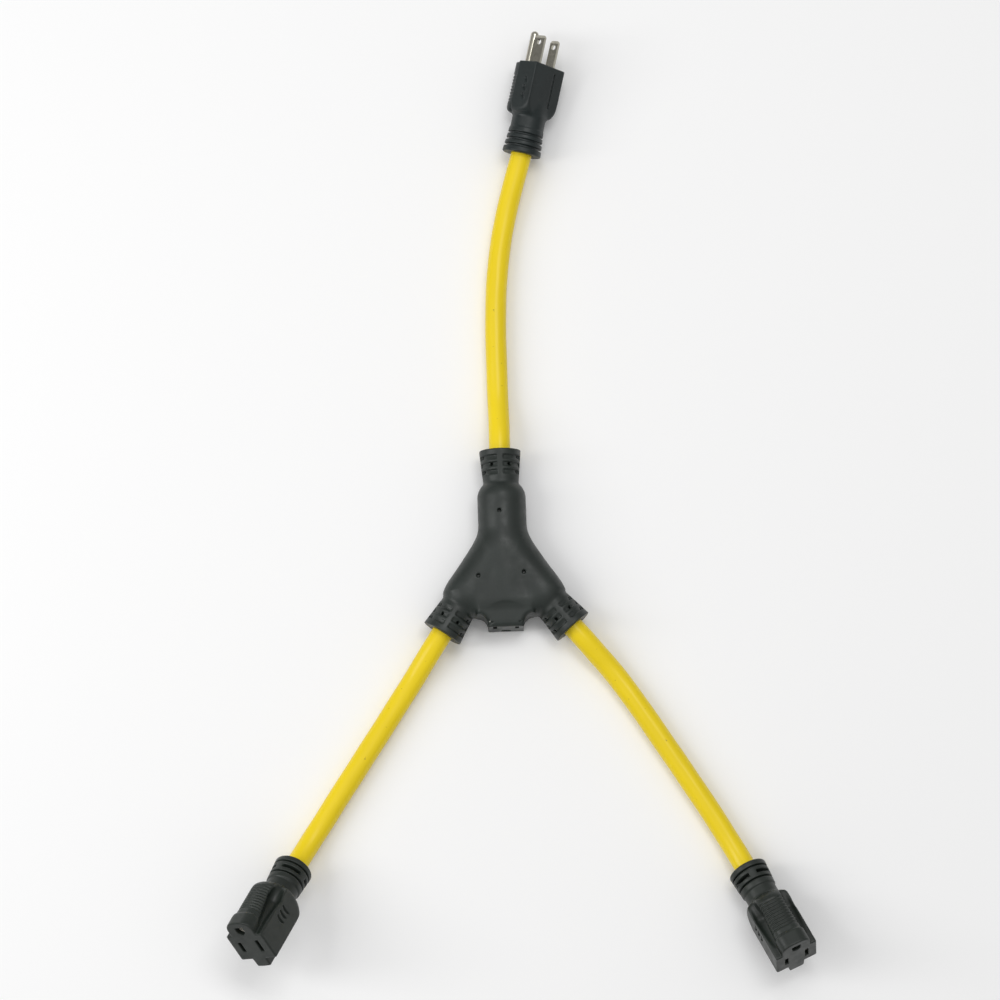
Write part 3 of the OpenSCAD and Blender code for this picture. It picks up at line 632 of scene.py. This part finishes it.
def hub_field(x, y, z):
    up = z - HUB_AXIS_Z
    shrink = 0.0026 * np.minimum(y - 8, 0) ** 2
    neck = rounded(np.hypot(x, up) + shrink - 14.1, y - 39.4, 10.9)
    neck = np.maximum(neck, -y - 30)
    belly = convex(x, y, [(-11, 4), (-31.6, -19.6), (-34.9, -26.3), (-31.5, -31), (-19.0, -40.8),
                          (19.0, -40.8), (30.6, -31), (34.2, -26.3), (30.6, -19.8), (11, 4)])
    belly = rounded(belly, np.abs(z - 12.4) - 12.4, 9.5)
    body = soft_min(neck, belly, 9.0)
    for angle in (LEFT_ARM, RIGHT_ARM):
        side = 1 if angle > 0 else -1
        start, end = (side * 1.5, 2, HUB_AXIS_Z), arm_point(side, angle, -7.0)
        body = soft_min(body, round_cone(x, y, z, start, end, 13.2, 12.5), 2.5)
    top = 24.4 + 0.10 * np.minimum(y + 36, 0)
    lip = rounded(lip_plan(x, y), z - top, 2.6)
    body = soft_min(body, lip, 2.0)
    body = soft_max(body, STUB_FACE_Y - y, 0.5)
    chamfer = (z - 23.9) - (y + 45.2) * 0.5
    body = soft_max(body, np.where(np.abs(x) < 14, chamfer * 0.87, -50.0), 0.6)
    crease = round_cone(x, y, z, (-7, -45.1, 24.1), (7, -45.1, 24.1), 0.5, 0.5)
    for side in (-1, 1):
        crease = np.minimum(crease, round_cone(
            x, y, z, (side * 7, -45.1, 24.1), (side * 10.8, -47.8, 22.6), 0.5, 1.2))
    body = carve(body, crease, 0.4)
    for angle in (LEFT_ARM, RIGHT_ARM):
        body = soft_min(body, hub_relief(*arm_frame(x, y, z, angle)), 0.8)
    body = soft_min(body, hub_relief(x, up, y - SUPPLY_END_Y + HUB_RELIEF_L), 0.8)
    body = soft_max(body, -z, 0.8)
    for dimple_x, dimple_y in HUB_DIMPLES:
        dimple = np.maximum(np.hypot(x - dimple_x, y - dimple_y) - 1.1, 23.8 - z)
        body = carve(body, dimple, 0.3)
    hole = np.maximum(np.hypot(x, up) - CORD_HOLE_R, 30 - y)
    for angle in (LEFT_ARM, RIGHT_ARM):
        u, v, out = arm_frame(x, y, z, angle)
        hole = np.minimum(hole, np.maximum(np.hypot(u, v) - CORD_HOLE_R, -12 - out))
    body = carve(body, hole, 0.3)
    room = np.maximum(np.maximum(between(y, -16, 30), np.hypot(x, up) - 11), between(z, 2.9, 23))
    fan = convex(x, y, [(-8, 12), (-8, 4), (-23.5, -16), (-26.5, -25), (-21, -29.5), (-9, -29.7),
                        (9, -29.7), (21, -29.5), (26.5, -25), (23.5, -16), (8, 4), (8, 12)])
    room = np.minimum(room, np.maximum(fan, between(z, 2.9, 23)))
    body = carve(body, room, 0.1)
    lx, ly, lz = -x, OUTLET_Z - z, -y + STUB_FACE_Y
    body = carve(body, carrier_room(lx, ly, lz), 0.05)
    return carve(body, mouths(lx, ly, lz), 0.15)


# ---- the mouldings ----
HEAD_STEP = 0.38
HUB_STEP = 0.59
connector_points, connector_quads = surface_net(
    connector_field, (-14.5, -18, -61.5), (14.5, 18.5, 1.5), HEAD_STEP)
plug_points, plug_quads = surface_net(
    plug_field, (-14.5, -13.5, -55.5), (14.5, 18.8, 1.5), HEAD_STEP)
hub_points, hub_quads = surface_net(hub_field, (-50, -59, -1.5), (51, 58.5, 29), HUB_STEP)

plug_head = mesh_object("plug_moulding", plug_points, plug_quads, PLUG_VINYL, head_matrix(PLUG))
# The connectors take the darker vinyl, whose darkening is painted shade.
left_head, right_head = (
    mesh_object(name, connector_points, connector_quads, SHADED_CONNECTOR_VINYL, head_matrix(head))
    for name, head in (("left_connector_moulding", LEFT), ("right_connector_moulding", RIGHT))
)
hub = mesh_object("hub_moulding", hub_points, hub_quads, HUB_VINYL)
for piece, nodes, slot in (
    (plug_head, "plug_overmould", "plug_vinyl"),
    (left_head, "left_overmould", "charcoal_vinyl"),
    (right_head, "right_overmould", "charcoal_vinyl"),
    (hub, "hub_overmould", "charcoal_vinyl"),
):
    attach(piece, "root")
    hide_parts(nodes)


# ---- the cords ----
CORD_D = 0.0124
SIDES = 56
RING_GAP = 1.5


def spline(points):
    """A smooth line through the points, with a point every RING_GAP millimetres or so."""
    p = [np.array(q, float) for q in points]
    p = [2 * p[0] - p[1], *p, 2 * p[-1] - p[-2]]
    line = []
    for a, b, c, d in zip(p, p[1:], p[2:], p[3:]):
        steps = max(2, int(np.linalg.norm(c - b) / RING_GAP))
        for t in np.arange(steps) / steps:
            line.append(
                0.5 * (2 * b + (c - a) * t + (2 * a - 5 * b + 4 * c - d) * t**2
                       + (3 * b - a - 3 * c + d) * t**3))
    line.append(p[-2])
    return np.array(line)


def cord_piece(name, path, twist_mm):
    """A jacket swept along a path in millimetres. Its three conductors, which turn once in
    twist_mm, show as the faintest waves, never past the cord's radius."""
    tangent = np.gradient(path, axis=0)
    tangent /= np.linalg.norm(tangent, axis=1)[:, None]
    gone = np.concatenate(([0], np.cumsum(np.linalg.norm(np.diff(path, axis=0), axis=1))))
    side = np.cross(tangent[0], (0, 0, 1))
    side /= np.linalg.norm(side)
    rings = []
    angle = 2 * math.pi * np.arange(SIDES) / SIDES
    for point, along, s in zip(path, tangent, gone):
        side = side - along * (side @ along)
        side /= np.linalg.norm(side)
        upward = np.cross(along, side)
        wave = 0.5 + 0.5 * np.cos(3 * (angle - 2 * math.pi * s / twist_mm))
        radius = CORD_D / MM / 2 - 0.07 * (1 - wave)
        spokes = np.cos(angle)[:, None] * side + np.sin(angle)[:, None] * upward
        rings.append(point + radius[:, None] * spokes)
    points = np.concatenate(rings)
    i, k = np.meshgrid(np.arange(len(path) - 1), np.arange(SIDES), indexing="ij")
    a, b = i * SIDES + k, i * SIDES + (k + 1) % SIDES
    faces = np.stack((a, b, b + SIDES, a + SIDES), -1).reshape(-1, 4)
    made = mesh_object(name, points, faces, JACKET)
    mesh = made.data
    layer = mesh.uv_layers.new(name="UVMap")
    corner = np.empty(len(mesh.loops), int)
    mesh.loops.foreach_get("vertex_index", corner)
    around = (corner % SIDES) / SIDES * math.pi * CORD_D
    seam = (np.arange(len(corner)) // 4 % SIDES == SIDES - 1) & (corner % SIDES == 0)
    around[seam] += math.pi * CORD_D
    layer.data.foreach_set("uv", np.stack((around, gone[corner // SIDES] * MM), 1).ravel())
    return made


def full_path(start, route, head):
    """The route from inside the hub to inside the head, in millimetres."""
    inner = [on_head(head, (0, 0, z - head[4])) for z in (0, 8)]
    return spline([start, *[Vector(p) / MM for p in route], *inner])


def connector_pieces(side, moulding):
    inner = ("contact_carrier", "line_contact", "neutral_contact", "ground_contact")
    return [moulding, *(f"{side}_{piece}" for piece in inner)]


# Name, start inside the hub, route, head, far end, CAD jacket, twist and what the cord carries.
CORDS = (
    ("supply_cord", (0, 48.5, HUB_AXIS_Z), SUPPLY_ROUTE, PLUG, "plug", "supply_jacket", 95.0,
     [plug_head, "plug_line_blade", "plug_neutral_blade", "plug_ground_pin", "plug_bridge"]),
    ("left_cord", arm_point(-1, LEFT_ARM, 10.4), LEFT_ROUTE, LEFT, "connector",
     "left_jacket", 90.0, connector_pieces("left", left_head)),
    ("right_cord", arm_point(1, RIGHT_ARM, 10.4), RIGHT_ROUTE, RIGHT, "connector",
     "right_jacket", 90.0, connector_pieces("right", right_head)),
)
for name, start, route, head, far_end, jacket, twist, carried in CORDS:
    path = full_path(start, route, head)
    cord = cord_piece(name, path, twist)
    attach(cord, "root")
    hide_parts(jacket)

# ---- floor, light and camera ----
floor_mesh = bpy.data.meshes.new("floor")
floor_mesh.from_pydata([(-4, -4, 0), (4, -4, 0), (4, 4, 0), (-4, 4, 0)], [], [(0, 1, 2, 3)])
floor = add_object("floor", floor_mesh)
paper = bpy.data.materials.new("floor_paper")
paper.use_nodes = True
paper_inputs = paper.node_tree.nodes["Principled BSDF"].inputs
paper_inputs["Base Color"].default_value = (0.93, 0.93, 0.93, 1)
paper_inputs["Roughness"].default_value = 0.9
paper_inputs["Specular IOR Level"].default_value = 0.1
floor_mesh.materials.append(paper)
floor.location.z = -0.0002

world = bpy.data.worlds.new("studio")
bpy.context.scene.world = world
world.use_nodes = True
sky = world.node_tree.nodes
sky["Background"].inputs["Strength"].default_value = 0.8
height = sky.new("ShaderNodeSeparateXYZ")
fade = sky.new("ShaderNodeValToRGB")
ramp_stops(fade, [(0.0, (0.30, 0.30, 0.30)), (0.45, (0.55, 0.55, 0.55)), (1.0, (1, 1, 1))])
link_sky = world.node_tree.links.new
link_sky(sky.new("ShaderNodeTexCoord").outputs["Generated"], height.inputs["Vector"])
link_sky(height.outputs["Z"], fade.inputs["Fac"])
link_sky(fade.outputs["Color"], sky["Background"].inputs["Color"])


def soft_light(name, place, size, watts):
    data = bpy.data.lights.new(name, "AREA")
    data.shape = "RECTANGLE"
    data.size, data.size_y = size
    data.energy = watts
    light = add_object(name, data)
    light.location = place
    light.rotation_euler = (Vector((0, 0, 0)) - Vector(place)).to_track_quat("-Z", "Y").to_euler()


soft_light("key", (0.25, 0.55, 1.85), (1.0, 0.6), 8.5)
soft_light("fill", (-1.3, 0.0, 1.1), (0.4, 1.3), 10)

camera_data = bpy.data.cameras.new("camera")
camera = add_object("camera", camera_data)
camera_data.sensor_width = 36
camera_data.lens = 123.84
camera.location = (-0.0131, -0.3202, 1.9875)
aim = Vector((-0.0008, 0.03, 0)) - camera.location
camera.rotation_euler = aim.to_track_quat("-Z", "Y").to_euler()
bpy.context.scene.camera = camera
bpy.context.scene.view_settings.view_transform = "Standard"
